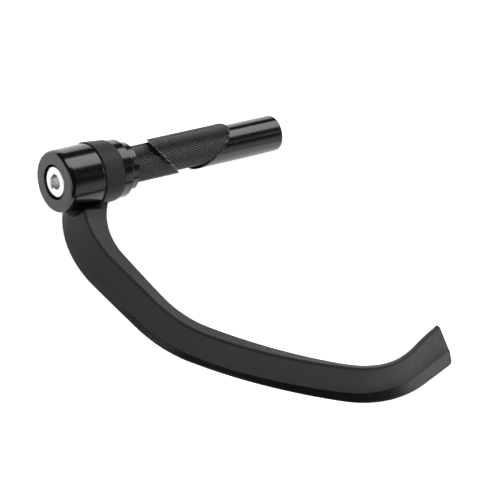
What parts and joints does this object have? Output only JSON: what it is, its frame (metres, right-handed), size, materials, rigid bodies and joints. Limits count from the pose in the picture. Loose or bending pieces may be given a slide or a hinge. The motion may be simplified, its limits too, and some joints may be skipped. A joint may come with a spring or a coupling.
{
  "type": "lever guard",
  "caption": "Black lever guard for a handlebar end: a round end cap with a socket screw, an expanding wedge plug, and a moulded arm that swings round the bar axis and sweeps in front of the lever.",
  "frame": {"origin": "on the bar axis, at the inner end of the plug's straight wall", "axes": "+X along the bar axis into the bar, +Y away from the guard arm in the arm's plane, +Z normal to the arm's plane towards its flat top face"},
  "size_m": [0.1467, 0.139, 0.0318],
  "materials": {
    "black_anodised": "gloss black anodised",
    "wedge_black": "satin black anodised",
    "moulded_black": "moulded with a fine grain",
    "screw_steel": "bright zinc plated"
  },
  "bodies": {
    "hub": {"end_cap": "black_anodised", "inner_collar": "black_anodised", "fixed_wedge": "wedge_black"},
    "arm": {"guard_arm": "moulded_black"},
    "screw": {"clamp_screw": "screw_steel"},
    "middle": {"middle_wedge": "wedge_black"},
    "end": {"end_wedge": "wedge_black"}
  },
  "joints": [
    {"name": "guard_swivel", "type": "hinge", "parent": "hub", "child": "arm", "pos_m": [-0.0904, 0, 0], "axis": [1, 0, 0], "continuous": true},
    {"name": "screw_turn", "type": "hinge", "parent": "hub", "child": "screw", "pos_m": [-0.1, 0, 0], "axis": [1, 0, 0], "range_deg": [-921.6, 86.4]},
    {"name": "end_wedge_slide", "type": "slide", "parent": "hub", "child": "end", "axis": [-1, 0, 0], "range_m": [-0.0032, 0.0003]},
    {"name": "middle_wedge_slide", "type": "slide", "parent": "hub", "child": "middle", "axis": [-0.7071, 0.2649, 0.6556], "range_m": [-0.00226, 0.00021]}
  ],
  "couplings": [
    {"joint": "end_wedge_slide", "follows": "screw_turn", "m_per_rad": 0.00019894},
    {"joint": "middle_wedge_slide", "follows": "screw_turn", "m_per_rad": 0.00014067}
  ]
}
